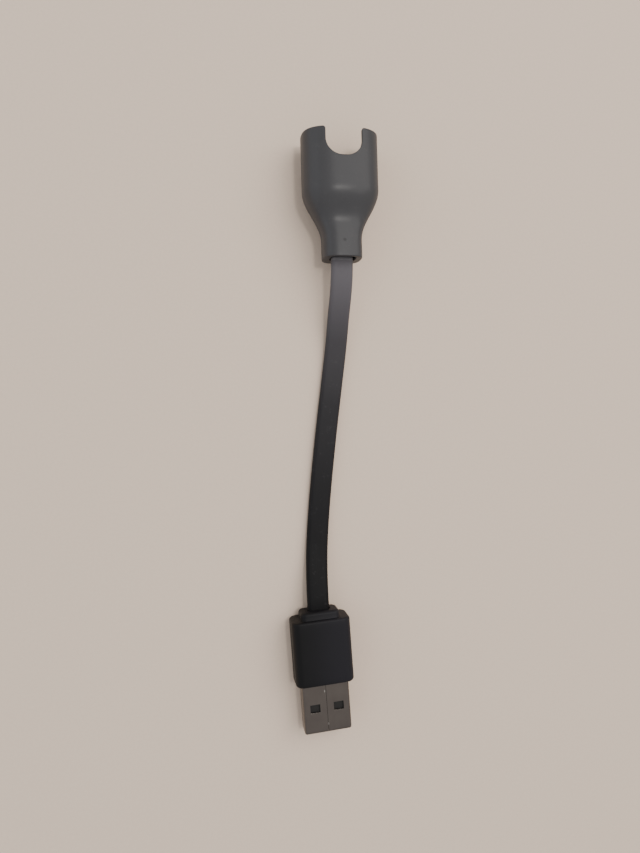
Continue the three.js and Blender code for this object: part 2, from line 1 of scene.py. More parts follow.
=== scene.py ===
# Charging lead for a wrist tracker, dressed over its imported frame: +Y out of the cradle's mouth, +Z up,
# with the origin on the surface below the middle of the cradle.

import math

import bmesh
import bpy
from mathutils import Matrix, Vector
from mathutils.kdtree import KDTree


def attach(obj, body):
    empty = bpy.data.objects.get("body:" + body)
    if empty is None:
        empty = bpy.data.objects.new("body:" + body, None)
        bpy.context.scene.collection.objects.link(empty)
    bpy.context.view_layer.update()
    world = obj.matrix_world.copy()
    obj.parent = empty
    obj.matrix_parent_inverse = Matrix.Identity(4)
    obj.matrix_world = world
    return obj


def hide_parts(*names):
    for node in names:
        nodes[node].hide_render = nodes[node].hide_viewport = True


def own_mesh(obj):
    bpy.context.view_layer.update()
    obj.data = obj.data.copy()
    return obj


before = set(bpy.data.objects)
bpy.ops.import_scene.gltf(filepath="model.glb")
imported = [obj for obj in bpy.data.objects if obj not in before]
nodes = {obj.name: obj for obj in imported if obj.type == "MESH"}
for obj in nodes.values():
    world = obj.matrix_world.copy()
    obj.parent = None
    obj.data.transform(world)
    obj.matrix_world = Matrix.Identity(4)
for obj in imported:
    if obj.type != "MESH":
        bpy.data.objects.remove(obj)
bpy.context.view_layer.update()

# ---------------------------------------------------------------- camera
# Held about 160 mm above the table, down and to the left of the cradle. It looks nearly straight down and
# a little to the right.

bpy.ops.object.select_all(action="DESELECT")
bpy.ops.object.camera_add()
camera = bpy.context.object
camera.name = "camera"
camera.data.lens = 26.34
camera.data.sensor_width = 36
camera.data.clip_start = 0.005
camera.matrix_world = (
    Matrix.Translation((-0.03578, -0.05480, 0.15916))
    @ Matrix.Rotation(math.radians(-10.76), 4, "Y")
    @ Matrix.Rotation(math.radians(-0.734), 4, "X")
    @ Matrix.Rotation(math.radians(-1.621), 4, "Z")
)
bpy.context.scene.camera = camera

# ---------------------------------------------------------------- cable
# Short flat two-core cable in soft PVC, 5.6 by 2.0 mm with half-round edges. It is drawn through a die,
# so fine lines run along it. It drops from the cradle's neck, lies flat and rises into the plug.

mm = 0.001
CABLE_WIDTH = 5.6
CABLE_THICKNESS = 2.0
CORE_SPACING = 2.3
LUMEN_RADIUS = 0.62
LUMEN_SIDES = 24
CABLE_STEPS = 150
SPLINE_STEPS = 24
CABLE_ROUTE = [
    (0, -0.0118, 0.00645), (0, -0.0131, 0.00645), (0, -0.0153, 0.00645), (-0.00005, -0.0181, 0.00632),
    (-0.00015, -0.0211, 0.00585), (-0.00032, -0.0246, 0.00492), (-0.0006, -0.0286, 0.00362),
    (-0.00085, -0.0331, 0.0023), (-0.00122, -0.0376, 0.00142), (-0.00188, -0.0426, 0.00108),
    (-0.00282, -0.0491, 0.00103), (-0.00385, -0.0561, 0.00103), (-0.0048, -0.0631, 0.00103),
    (-0.0057, -0.0701, 0.00103), (-0.00645, -0.0766, 0.00103), (-0.00705, -0.0826, 0.0011),
    (-0.00752, -0.0881, 0.00145), (-0.00786, -0.0931, 0.00235), (-0.00806, -0.0976, 0.00338),
    (-0.0081, -0.1006, 0.00386), (-0.00805, -0.103, 0.004), (-0.00793, -0.1055, 0.004),
    (-0.00777, -0.1089, 0.004),
]


def even_places(line, steps):
    """Steps + 1 places a like distance apart on a line of points. Each is the number of the point before
    it, and its share of the way to the next."""
    reach = [0.0]
    for a, b in zip(line, line[1:]):
        reach.append(reach[-1] + (b - a).length)
    places, k = [], 0
    for i in range(steps + 1):
        want = reach[-1] * i / steps
        while k < len(line) - 2 and reach[k + 1] < want:
            k += 1
        span = max(reach[k + 1] - reach[k], 1e-9)
        places.append((k, min(1.0, (want - reach[k]) / span)))
    return places


def even_points(line, steps):
    """The line of points again, as steps + 1 points a like distance apart."""
    return [line[k].lerp(line[k + 1], share) for k, share in even_places(line, steps)]


def smooth_route(corners, steps):
    """Evenly spaced points, in millimetres, on the centripetal spline through a route's points in metres."""
    stops = [Vector(c) / mm for c in corners]
    stops = [2 * stops[0] - stops[1]] + stops + [2 * stops[-1] - stops[-2]]
    fine = []
    for before, start, end, after in zip(stops, stops[1:], stops[2:], stops[3:]):
        t1 = math.sqrt((start - before).length)
        t2 = t1 + math.sqrt((end - start).length)
        t3 = t2 + math.sqrt((after - end).length)
        for i in range(SPLINE_STEPS):
            t = t1 + (t2 - t1) * i / SPLINE_STEPS
            a = before.lerp(start, t / t1)
            b = start.lerp(end, (t - t1) / (t2 - t1))
            c = end.lerp(after, (t - t2) / (t3 - t2))
            fine.append(a.lerp(b, t / t2).lerp(b.lerp(c, (t - t1) / (t3 - t1)), (t - t1) / (t2 - t1)))
    fine.append(stops[-2].copy())
    return even_points(fine, steps)


def drawn_through(name, rings, joined=False):
    """A wall extruded from ring to ring, each a list of corners in millimetres. Its two ends are closed
    with a flat face each, or joined to each other where it runs back to where it began."""
    bpy.ops.object.select_all(action="DESELECT")
    bpy.ops.mesh.primitive_circle_add(vertices=len(rings[0]), radius=0.01)
    piece = bpy.context.object
    piece.name = piece.data.name = name
    column = piece.data.attributes.new("column", "INT", "POINT")
    for i, vertex in enumerate(piece.data.vertices):
        column.data[i].value = i
        vertex.co = mm * Vector(rings[0][i])
    bpy.ops.object.mode_set(mode="EDIT")
    bpy.ops.mesh.select_all(action="SELECT")
    if not joined:
        bpy.ops.mesh.edge_face_add()
    for ring in rings[1:] + ([rings[0]] if joined else []):
        bpy.ops.mesh.extrude_region_move()
        shaping = bmesh.from_edit_mesh(piece.data)
        place = shaping.verts.layers.int["column"]
        for vertex in shaping.verts:
            if vertex.select:
                vertex.co = mm * Vector(ring[vertex[place]])
        bmesh.update_edit_mesh(piece.data)
    bpy.ops.mesh.select_all(action="SELECT")
    bpy.ops.mesh.remove_doubles(threshold=1e-6)
    bpy.ops.mesh.normals_make_consistent(inside=False)
    bpy.ops.object.mode_set(mode="OBJECT")
    piece.data.attributes.remove(piece.data.attributes["column"])
    bpy.ops.object.shade_smooth_by_angle(angle=math.radians(35))
    return piece


def apply_modifier(piece, kind, **settings):
    """Adds a modifier to the piece and applies it."""
    bpy.ops.object.select_all(action="DESELECT")
    bpy.context.view_layer.objects.active = piece
    piece.select_set(True)
    modifier = piece.modifiers.new(kind.lower(), kind)
    for key, value in settings.items():
        setattr(modifier, key, value)
    bpy.ops.object.modifier_apply(modifier=modifier.name)


def cable_section(width, thickness, steps):
    """Corners of a flat section with half-round edges, as (across, up)."""
    radius = thickness / 2
    corners = []
    for side in (1, -1):
        for i in range(steps + 1):
            angle = math.pi * (i / steps - 0.5)
            across = side * (width / 2 - radius + radius * math.cos(angle))
            corners.append((across, side * radius * math.sin(angle)))
        flat = width / 2 - radius
        corners += [(side * flat * k / 4, side * radius) for k in (3, 2, 1, 0, -1, -2, -3)]
    return corners


def swept(name, section, line, shift=0.0):
    """A level section drawn along a line, shift to one side of it."""
    rings = []
    for i, point in enumerate(line):
        along = (line[min(i + 1, len(line) - 1)] - line[max(i - 1, 0)]).normalized()
        sideways = Vector((0, 0, 1)).cross(along).normalized()
        up = along.cross(sideways)
        rings.append([point + (a + shift) * sideways + b * up for a, b in section])
    return drawn_through(name, rings)


cable_line = smooth_route(CABLE_ROUTE, CABLE_STEPS)
cable_step = sum((b - a).length for a, b in zip(cable_line, cable_line[1:])) / CABLE_STEPS
cable = swept("cable_jacket_skin", cable_section(CABLE_WIDTH, CABLE_THICKNESS, 10), cable_line)
first, last = cable_line[0], cable_line[-1]
long_line = [first + (first - cable_line[1])] + cable_line + [last + (last - cable_line[-2])]
round_section = [
    (LUMEN_RADIUS * math.cos(2 * math.pi * i / LUMEN_SIDES),
     LUMEN_RADIUS * math.sin(2 * math.pi * i / LUMEN_SIDES))
    for i in range(LUMEN_SIDES)
]
for side in (-1, 1):
    lumen = swept("lumen", round_section, long_line, side * CORE_SPACING / 2)
    apply_modifier(cable, "BOOLEAN", object=lumen, operation="DIFFERENCE", solver="EXACT")
    bpy.data.objects.remove(lumen)

# The finish follows the cable: how far along and how far across each corner of the skin lies.
nearest = KDTree(len(cable_line))
for i, point in enumerate(cable_line):
    nearest.insert(mm * point, i)
nearest.balance()
along_skin = cable.data.attributes.new("along", "FLOAT", "POINT")
across_skin = cable.data.attributes.new("across", "FLOAT", "POINT")
for vertex in cable.data.vertices:
    spot, i, _ = nearest.find(vertex.co)
    ahead = (cable_line[min(i + 1, CABLE_STEPS)] - cable_line[max(i - 1, 0)]).normalized()
    sideways = Vector((0, 0, 1)).cross(ahead).normalized()
    off = (vertex.co - spot) / mm
    along_skin.data[vertex.index].value = i * cable_step + off.dot(ahead)
    across_skin.data[vertex.index].value = off.dot(sideways)


class Shade:
    """A socket in a finish. Sums on it add Math nodes."""

    def __init__(self, finish, socket):
        self.finish = finish
        self.socket = socket

    def sum(self, operation, first, second):
        return self.finish.node("Math", {"operation": operation}, {0: first, 1: second})

    def __add__(self, other):
        return self.sum("ADD", self, other)

    def __sub__(self, other):
        return self.sum("SUBTRACT", self, other)

    def __rsub__(self, other):
        return self.sum("SUBTRACT", other, self)

    def __mul__(self, other):
        return self.sum("MULTIPLY", self, other)

    def __truediv__(self, other):
        return self.sum("DIVIDE", self, other)

    __radd__ = __add__
    __rmul__ = __mul__


class Finish:
    """A procedural material with one Principled shader. Constants are set on the shader's own sockets."""

    def __init__(self, name, **constants):
        self.material = bpy.data.materials.new(name)
        self.material.use_nodes = True
        self.tree = self.material.node_tree
        self.shader = self.tree.nodes["Principled BSDF"]
        for key, value in constants.items():
            self.shader.inputs[key.replace("_", " ")].default_value = value

    def node(self, kind, settings=None, inputs=None, output=0):
        made = self.tree.nodes.new("ShaderNode" + kind)
        for key, value in (settings or {}).items():
            if key == "stops":
                ramp = made.color_ramp
                for i, (position, color) in enumerate(value):
                    stop = ramp.elements[i] if i < 2 else ramp.elements.new(position)
                    stop.position, stop.color = position, color
            else:
                setattr(made, key, value)
        for key, value in (inputs or {}).items():
            if isinstance(value, Shade):
                self.tree.links.new(value.socket, made.inputs[key])
            else:
                made.inputs[key].default_value = value
        return Shade(self, made.outputs[output])

    def feed(self, socket, value):
        self.tree.links.new(value.socket, self.shader.inputs[socket])

    def place(self):
        return self.node("TexCoord", output="Object")

    def noise(self, vector, scale, detail=2.0, roughness=0.5):
        return self.node(
            "TexNoise", None,
            {"Vector": vector, "Scale": scale, "Detail": detail, "Roughness": roughness},
        )

    def soft_step(self, value, low, high):
        return self.node(
            "MapRange", {"interpolation_type": "SMOOTHSTEP"},
            {"Value": value, "From Min": low, "From Max": high},
        )

    def blend(self, share, first, second):
        return self.node(
            "Mix", {"data_type": "RGBA"},
            {"Factor": share, 6: first, 7: second}, output=2,
        )

    def bumps(self, *layers):
        """Bump nodes one on another, each (height, depth in millimetres)."""
        normal = None
        for height, depth in layers:
            inputs = {"Height": height, "Distance": depth * mm, "Strength": 1.0}
            if normal:
                inputs["Normal"] = normal
            normal = self.node("Bump", None, inputs)
        self.feed("Normal", normal)

    def on(self, piece):
        piece.data.materials.clear()
        piece.data.materials.append(self.material)


def color(red, green, blue):
    return (red, green, blue, 1.0)


cable_pvc = Finish("cable_pvc", IOR=1.5, Specular_IOR_Level=0.15)
along = cable_pvc.node("Attribute", {"attribute_name": "along"}, output="Fac")
across = cable_pvc.node("Attribute", {"attribute_name": "across"}, output="Fac")
die_place = cable_pvc.node("CombineXYZ", None, {0: along * 0.03, 1: across * 3.0, 2: 0.5})
die_lines = cable_pvc.noise(die_place, 2.2, 3.0, 0.65)
skin_place = cable_pvc.place()
mottle = cable_pvc.noise(skin_place, 260.0, 3.0)
grain = cable_pvc.noise(skin_place, 9000.0, 2.0, 0.6)
rub = cable_pvc.soft_step(cable_pvc.noise(skin_place, 700.0, 4.0, 0.7), 0.56, 0.74)
tone = cable_pvc.blend(mottle, color(0.0035, 0.0035, 0.0039), color(0.0055, 0.0055, 0.0062))
# Towards the neck, where it is bent most, the skin is painted paler: partly a pale, dusty skin, partly
# painted sheen where the bend catches the light.
paled_and_sheen = cable_pvc.node("ValToRGB", {"stops": [
    (0.06, color(1.0, 1.0, 1.0)), (0.12, color(0.87, 0.87, 0.87)), (0.24, color(0.42, 0.42, 0.42)),
    (0.4, color(0.18, 0.18, 0.18)), (0.6, color(0.08, 0.08, 0.08)), (0.85, color(0.0, 0.0, 0.0)),
]}, {"Fac": along / 100.0})
tone = cable_pvc.blend(paled_and_sheen, tone, color(0.112, 0.105, 0.116))
# Painted highlight: a light line across the skin where the cable bends out of the neck's slot.
bend_highlight = cable_pvc.soft_step(along, 3.0, 3.2) * (1.0 - cable_pvc.soft_step(along, 3.5, 3.9))
tone = cable_pvc.blend(bend_highlight * (0.35 + mottle * 0.5), tone, color(0.30, 0.29, 0.30))
tone = cable_pvc.blend(rub * 0.22, tone, color(0.075, 0.072, 0.076))
cable_pvc.feed("Base Color", tone)
cable_pvc.feed("Roughness", 0.46 + mottle * 0.10 + die_lines * 0.10)
cable_pvc.bumps((die_lines, 0.035), (grain, 0.006))
cable_pvc.on(cable)

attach(cable, "lead")
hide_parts("cable_jacket")

# ---------------------------------------------------------------- cradle
# The holder, moulded in dark grey plastic with a soft matte skin. An oval cup with a thumb notch in its
# front and a wider one in its back closes in on a squarer neck, which the cable leaves by a slot.

AXIS_HEIGHT = 6.45
CUP = (19.1, 12.9, 2.6)  # width, thickness and roundness of the oval: 2 is an ellipse
NECK = (9.85, 8.4, 3.2)
RIM_Y = 15.3
NECK_END_Y = -15.3
SHOULDER_TOP_Y = 1.7
SHOULDER_FOOT_Y = -10.8
FACE_FOOT_Y = -7.3  # the front and back close in sooner than the sides
HOLLOW = (15.9, 10.7)
SEAT = (11.6, 8.6)
HOLLOW_ROUNDNESS = 2.9
HOLLOW_END_Y = 2.4
SEAT_Y = -3.8
SIDE_WALL = 1.6
FACE_WALL = 1.1
FRONT_NOTCH = {"half": 4.5, "depth": 6.9, "corner": 4.0, "tip": 0.7}
BACK_NOTCH = {"half": 7.0, "depth": 9.3, "corner": 5.0, "tip": 0.7}
RIM_ROUNDING = 0.4
NOTCH_ROUNDING = 0.2
NECK_END_ROUNDING = 0.25
INNER_ROUNDING = 0.2
POCKET = (9.2, 6.8, 1.8)  # width, height and corner, for the block with the pins
POCKET_END_Y = SEAT_Y - 3.3
BORE = (7.8, 6.0, 1.3)
CABLE_SLOT = (6.4, 4.65, 1.2)
SLOT_MOUTH = (6.6, 4.85, 1.3)
SLOT_LIFT = 0.975  # of the slot's middle over the cup's axis
END_WALL = 1.1
MOUTH_DEPTH = 0.1
NECK_RINGS_Y = (-14.8, -13.8, -12.7, -11.7)
SHOULDER_STEPS = 28
WALL_STEPS = 16
SEAT_STEPS = 12
COLUMNS = 192


def mixed(a, b, share):
    return a + (b - a) * share


def outside_at(y):
    """Width, thickness and roundness of the outside at y."""
    sides, faces = (
        (1 - math.cos(math.pi * min(1.0, max(0.0, (y - foot) / (SHOULDER_TOP_Y - foot))))) / 2
        for foot in (SHOULDER_FOOT_Y, FACE_FOOT_Y)
    )
    return [mixed(a, b, share) for a, b, share in zip(NECK, CUP, (sides, faces, sides))]


def hollow_at(y):
    sine = min(1.0, max(0.0, 1 - (y - SEAT_Y) / (HOLLOW_END_Y - SEAT_Y)))
    swell = math.sqrt(1 - sine * sine)
    width, thickness, _ = outside_at(y)
    return [
        min(mixed(SEAT[0], HOLLOW[0], swell), width - 2 * SIDE_WALL),
        min(mixed(SEAT[1], HOLLOW[1], swell), thickness - 2 * FACE_WALL),
        HOLLOW_ROUNDNESS,
    ]


def on_oval(oval, angle, y, inset=0.0):
    width, thickness, roundness = oval
    c, s = math.cos(angle), math.sin(angle)
    x = math.copysign(abs(c) ** (2 / roundness), c) * (width / 2 - inset)
    z = math.copysign(abs(s) ** (2 / roundness), s) * (thickness / 2 - inset)
    return Vector((x, y, AXIS_HEIGHT + z))


def angle_at(oval, x):
    """Angle of the oval's corner at x, on its front half."""
    width, _, roundness = oval
    share = min(1.0, abs(x) / (width / 2)) ** (roundness / 2)
    return math.acos(math.copysign(share, x))


def even_angles(oval, end, steps):
    """Angles from 0 to end that cut the oval's outline into like lengths."""
    fine = [end * i / 1500 for i in range(1501)]
    line = [on_oval(oval, a, 0.0) for a in fine]
    return [mixed(fine[k], fine[k + 1], share) for k, share in even_places(line, steps)]


def wall_top(notch):
    """Where the wall ends above each column of the front half: (x, y, way out of the wall, angle on the
    oval for a plain rim, rounding)."""
    half, corner, tip = notch["half"], notch["corner"], notch["tip"]
    bottom = RIM_Y - notch["depth"]
    rim_end = angle_at(CUP, half + tip)
    line = []
    for a in even_angles(CUP, rim_end, 90):
        line.append((on_oval(CUP, a, 0).x, RIM_Y, (0.0, 1.0), a, RIM_ROUNDING))
    for i in range(1, 25):
        a = math.pi / 2 * (1 + i / 24)
        rounding = mixed(RIM_ROUNDING, NOTCH_ROUNDING, i / 24)
        out = (math.cos(a), math.sin(a))
        line.append((half + tip + tip * out[0], RIM_Y - tip + tip * out[1], out, None, rounding))
    for i in range(1, 21):
        y = mixed(RIM_Y - tip, bottom + corner, i / 20)
        line.append((half, y, (-1.0, 0.0), None, NOTCH_ROUNDING))
    for i in range(1, 61):
        a = -math.pi / 2 * i / 60
        out = (-math.cos(a), -math.sin(a))
        x, y = half - corner - corner * out[0], bottom + corner - corner * out[1]
        line.append((x, y, out, None, NOTCH_ROUNDING))
    if half > corner:
        line.append((0.0, bottom, (0.0, 1.0), None, NOTCH_ROUNDING))
    # Spread the columns evenly along it, measured on the outside of the cup.
    spots = [on_oval(CUP, t[3] if t[3] is not None else angle_at(CUP, t[0]), t[1]) for t in line]
    quarter = []
    for k, share in even_places(spots, COLUMNS // 4):
        a, b = line[k], line[k + 1]
        out = Vector([mixed(p, q, share) for p, q in zip(a[2], b[2])]).normalized()
        plain = mixed(a[3], b[3], share) if a[3] is not None and b[3] is not None else None
        quarter.append((mixed(a[0], b[0], share), mixed(a[1], b[1], share), tuple(out), plain,
                        mixed(a[4], b[4], share)))
    mirrored = [
        (-x, y, (-out[0], out[1]), None if plain is None else math.pi - plain, rounding)
        for x, y, out, plain, rounding in quarter[-2::-1]
    ]
    return quarter + mirrored


def wall_point(column, back, depth, from_inside=False):
    """Point of the cup's wall this far back from its top and this deep below its outside or its inside,
    with its angles on the outer and the inner oval, and its y."""
    (x, y, out, plain, _), side = column
    x, y = x - back * out[0], y - back * out[1]
    outer, inner = outside_at(y), hollow_at(y)
    if plain is None:
        outer_angle, inner_angle = angle_at(outer, x), angle_at(inner, x)
    else:
        notch = FRONT_NOTCH if side > 0 else BACK_NOTCH
        edge = notch["half"] + notch["tip"]
        ratio = angle_at(inner, edge) / angle_at(outer, edge)
        from_side = plain if plain < math.pi / 2 else math.pi - plain
        outer_angle = plain
        inner_angle = from_side * ratio if plain < math.pi / 2 else math.pi - from_side * ratio
    a = on_oval(outer, side * outer_angle, y)
    b = on_oval(inner, side * inner_angle, y)
    wall = (b - a).length
    deep = wall - depth if from_inside else depth
    return a.lerp(b, deep / wall), side * outer_angle, side * inner_angle, y


def rounded_ring(width, height, corner, y, lift=0.0, count=COLUMNS, middle=AXIS_HEIGHT):
    """Evenly spaced corners of a rounded rectangle across the Y axis, from its right side up and round."""
    line = []
    right, top = width / 2 - corner, height / 2 - corner
    for quarter, (sx, sz) in enumerate([(1, 1), (-1, 1), (-1, -1), (1, -1)]):
        for i in range(25):
            a = math.pi / 2 * (quarter + i / 24)
            line.append(Vector((sx * right + corner * math.cos(a), y,
                                middle + lift + sz * top + corner * math.sin(a))))
    start = Vector((width / 2, y, middle + lift))
    return even_points([start] + line + [start], count)[:-1]


front = [(top, 1) for top in wall_top(FRONT_NOTCH)]
back = [(top, -1) for top in wall_top(BACK_NOTCH)]
columns = front[:-1] + back[::-1][:-1]
side_angles = even_angles(CUP, math.pi, COLUMNS // 2)
base_angles = side_angles[:-1] + [-a for a in side_angles[::-1][:-1]]

rings = []
for turn in (0, 30, 60, 90):
    turn = math.radians(turn)
    y = NECK_END_Y + NECK_END_ROUNDING * (1 - math.cos(turn))
    inset = NECK_END_ROUNDING * (1 - math.sin(turn))
    rings.append([on_oval(outside_at(y), a, y, inset) for a in base_angles])
for y in NECK_RINGS_Y:
    rings.append([on_oval(outside_at(y), a, y) for a in base_angles])
for i in range(SHOULDER_STEPS + 1):
    y = mixed(SHOULDER_FOOT_Y, SHOULDER_TOP_Y, i / SHOULDER_STEPS)
    rings.append([on_oval(outside_at(y), a, y) for a in base_angles])
# Up the outside of the cup to its top, and over it.
for i in range(1, WALL_STEPS + 1):
    share = i / WALL_STEPS
    ring = []
    for column, base in zip(columns, base_angles):
        _, angle, _, y = wall_point(column, column[0][4], 0.0)
        height = mixed(SHOULDER_TOP_Y, y, share)
        ring.append(on_oval(outside_at(height), mixed(base, angle, share), height))
    rings.append(ring)
for turn in (18, 36, 54, 72, 90):
    turn = math.radians(turn)
    ring = []
    for column in columns:
        r = column[0][4]
        ring.append(wall_point(column, r * (1 - math.sin(turn)), r * (1 - math.cos(turn)))[0])
    rings.append(ring)
for turn in (0, 30, 60, 90):
    turn = math.radians(turn)
    r = INNER_ROUNDING
    rings.append([
        wall_point(column, r * (1 - math.cos(turn)), r * (1 - math.sin(turn)), from_inside=True)[0]
        for column in columns
    ])
# Down the hollow to the seat, through the pocket and the bore, and out by the cable's slot.
for i in range(WALL_STEPS - 1, -1, -1):
    share = i / WALL_STEPS
    ring = []
    for column, base in zip(columns, base_angles):
        _, _, angle, y = wall_point(column, INNER_ROUNDING, 0.0, from_inside=True)
        height = mixed(HOLLOW_END_Y, y, share)
        ring.append(on_oval(hollow_at(height), mixed(base, angle, share), height))
    rings.append(ring)
for i in range(1, SEAT_STEPS + 1):
    y = SEAT_Y + (HOLLOW_END_Y - SEAT_Y) * (1 - math.sin(math.pi / 2 * i / SEAT_STEPS))
    rings.append([on_oval(hollow_at(y), a, y) for a in base_angles])
rings.append(rounded_ring(*POCKET, SEAT_Y))
rings.append(rounded_ring(*POCKET, POCKET_END_Y))
rings.append(rounded_ring(*BORE, POCKET_END_Y))
rings.append(rounded_ring(*BORE, NECK_END_Y + END_WALL))
rings.append(rounded_ring(*CABLE_SLOT, NECK_END_Y + END_WALL, SLOT_LIFT))
rings.append(rounded_ring(*CABLE_SLOT, NECK_END_Y + MOUTH_DEPTH, SLOT_LIFT))
rings.append(rounded_ring(*SLOT_MOUTH, NECK_END_Y, SLOT_LIFT))
cradle = drawn_through("cradle_cup", rings, joined=True)

soft_touch = Finish(
    "soft_touch_plastic", IOR=1.46, Specular_IOR_Level=0.15, Coat_Weight=0.36, Coat_Roughness=0.3,
)
place = soft_touch.place()
grain = soft_touch.noise(place, 7000.0, 3.0, 0.6)
orange_peel = soft_touch.noise(place, 900.0, 2.0, 0.5)
cloud = soft_touch.noise(place, 150.0, 4.0, 0.6)
handled_and_lit = soft_touch.soft_step(soft_touch.noise(place, 420.0, 5.0, 0.72), 0.55, 0.76)
dust = soft_touch.soft_step(soft_touch.noise(place, 5200.0, 1.0, 0.4), 0.735, 0.79)
# Gate mark on the front of the neck.
GATE_PLACE = (-0.0001, -0.0114, 0.01065)
gate = soft_touch.node("VectorMath", {"operation": "DISTANCE"}, {0: place, 1: GATE_PLACE}, output="Value")
gate_pit = 1.0 - soft_touch.soft_step(gate, 0.00022, 0.00048)
tone = soft_touch.blend(cloud, color(0.044, 0.044, 0.0475), color(0.055, 0.0545, 0.058))
tone = soft_touch.blend(handled_and_lit * 0.3, tone, color(0.072, 0.070, 0.070))
tone = soft_touch.blend(dust * 0.4, tone, color(0.18, 0.17, 0.16))
tone = soft_touch.blend(gate_pit * 0.7, tone, color(0.020, 0.020, 0.021))
soft_touch.feed("Base Color", tone)
soft_touch.feed("Roughness", 0.68 + cloud * 0.08 - handled_and_lit * 0.1 + dust * 0.2)
soft_touch.bumps((orange_peel, 0.012), (grain, 0.008), (gate_pit, -0.12))
soft_touch.on(cradle)
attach(cradle, "lead")
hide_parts("cradle_shell")

# ---------------------------------------------------------------- contact carrier and pins
# Black nylon block pressed into the seat, with two gold-plated sprung pins. Each pin is a turned plunger
# with a round nose in a turned barrel, on a coil spring of steel wire.

PIN_X = 2.2
CARRIER_HALF_WIDTH = 4.5
CARRIER_HALF_HEIGHT = 3.3
CARRIER_LENGTH = 3
CARRIER_CORNER = 1.65
PIN_HOLE_RADIUS = 1.04
NOSE_RADIUS = 0.5
NOSE_HEIGHT = 0.8  # of the middle of the nose's rounding, over the seat
SPRING_RADIUS = 0.42
SPRING_WIRE_RADIUS = 0.08
SPRING_TURNS = 5
SPRING_STEPS = 120
SPRING_TOP = -1.32
SPRING_FOOT = -3.16

def block(name, low, high):
    """A block between two corners in millimetres."""
    bpy.ops.object.select_all(action="DESELECT")
    bpy.ops.mesh.primitive_cube_add(size=1)
    piece = bpy.context.object
    piece.name = piece.data.name = name
    bpy.ops.object.mode_set(mode="EDIT")
    bpy.ops.mesh.select_all(action="SELECT")
    bpy.ops.transform.resize(value=[(b - a) * mm for a, b in zip(low, high)])
    bpy.ops.transform.translate(value=[(a + b) / 2 * mm for a, b in zip(low, high)])
    bpy.ops.object.mode_set(mode="OBJECT")
    return piece


def turned(name, profile, x, sides=48):
    """A turned piece on the pin's axis, from its profile of (radius, height over the seat)."""
    rings = []
    for radius, height in profile:
        rings.append([
            (x + radius * math.cos(2 * math.pi * i / sides), SEAT_Y + height,
             AXIS_HEIGHT + radius * math.sin(2 * math.pi * i / sides))
            for i in range(sides)
        ])
    return drawn_through(name, rings)


def flat_shading(piece):
    """Smooth shading whose normals lean to the larger faces, so that flat faces beside a bevel stay flat."""
    bpy.ops.object.shade_smooth()
    apply_modifier(piece, "WEIGHTED_NORMAL", mode="FACE_AREA", weight=100)


carrier_block = block(
    "contact_block",
    (-CARRIER_HALF_WIDTH, SEAT_Y - CARRIER_LENGTH, AXIS_HEIGHT - CARRIER_HALF_HEIGHT),
    (CARRIER_HALF_WIDTH, SEAT_Y, AXIS_HEIGHT + CARRIER_HALF_HEIGHT),
)
# Its four long edges are rounded.
bpy.ops.object.mode_set(mode="EDIT")
shaping = bmesh.from_edit_mesh(carrier_block.data)
bpy.ops.mesh.select_all(action="DESELECT")
for edge in shaping.edges:
    a, b = (v.co for v in edge.verts)
    edge.select_set(abs(a.x - b.x) < 1e-6 and abs(a.z - b.z) < 1e-6)
bmesh.update_edit_mesh(carrier_block.data)
bpy.ops.mesh.bevel(offset=CARRIER_CORNER * mm, segments=8)
bpy.ops.object.mode_set(mode="OBJECT")
for side in (-1, 1):
    hole = turned("hole", [(PIN_HOLE_RADIUS, -4), (PIN_HOLE_RADIUS, 1)], side * PIN_X)
    apply_modifier(carrier_block, "BOOLEAN", object=hole, operation="DIFFERENCE", solver="EXACT")
    bpy.data.objects.remove(hole)
apply_modifier(carrier_block, "BEVEL", width=0.1 * mm, segments=2, limit_method="ANGLE",
               angle_limit=math.radians(50))
flat_shading(carrier_block)

nylon = Finish("black_nylon", IOR=1.52)
place = nylon.place()
speckle = nylon.noise(place, 4200.0, 3.0, 0.6)
haze = nylon.noise(place, 600.0, 3.0)
nylon.feed("Base Color", nylon.blend(haze, color(0.013, 0.013, 0.014), color(0.024, 0.023, 0.024)))
nylon.feed("Roughness", 0.42 + speckle * 0.16)
nylon.bumps((speckle, 0.01))
nylon.on(carrier_block)
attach(carrier_block, "lead")
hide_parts("contact_carrier")

gold = Finish("gold_plate", Metallic=1.0)
place = gold.place()
wear = gold.soft_step(gold.noise(place, 3200.0, 4.0, 0.7), 0.55, 0.75)
turning = gold.node(
    "TexWave", {"wave_type": "BANDS", "bands_direction": "Y"},
    {"Vector": place, "Scale": 3200.0, "Distortion": 0.6, "Detail": 2.0},
)
gold.feed("Base Color", gold.blend(wear * 0.5, color(0.78, 0.53, 0.20), color(0.62, 0.47, 0.27)))
gold.feed("Roughness", 0.18 + wear * 0.2 + turning * 0.05)
gold.bumps((turning, 0.0015))

spring_steel = Finish("spring_steel", Metallic=1.0)
place = spring_steel.place()
drawn = spring_steel.noise(place, 5200.0, 3.0, 0.6)
spring_steel.feed("Base Color", spring_steel.blend(drawn, color(0.42, 0.42, 0.42), color(0.58, 0.58, 0.57)))
spring_steel.feed("Roughness", 0.22 + drawn * 0.16)
spring_steel.bumps((drawn, 0.002))

